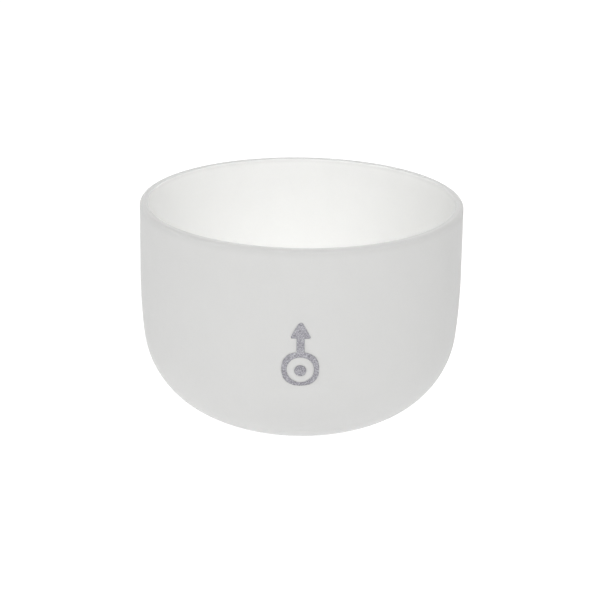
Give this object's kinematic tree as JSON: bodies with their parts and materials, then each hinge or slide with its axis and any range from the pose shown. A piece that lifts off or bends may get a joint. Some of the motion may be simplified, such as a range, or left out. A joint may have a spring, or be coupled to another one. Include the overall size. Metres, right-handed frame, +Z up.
{
  "type": "singing bowl",
  "caption": "Round frosted quartz bowl with straight sides, a rounded base and a small printed sign; it sounds when its rim is struck or rubbed.",
  "frame": {"origin": "middle of the flat foot that the bowl stands on", "axes": "+Z up along the bowl's axis, from the foot to the rim; the sign is on the -Y side, the front; +X to the right of someone facing the sign"},
  "size_m": [0.254, 0.2545, 0.1778],
  "materials": {
    "frosted_quartz": "milky and frosted outside, smoother inside, softly translucent",
    "glitter_print": "fine silver glitter in a thin clear film"
  },
  "bodies": {
    "root": {"bowl": "frosted_quartz", "sign_ring_arrow": "glitter_print", "sign_dot": "glitter_print"}
  },
  "joints": []
}
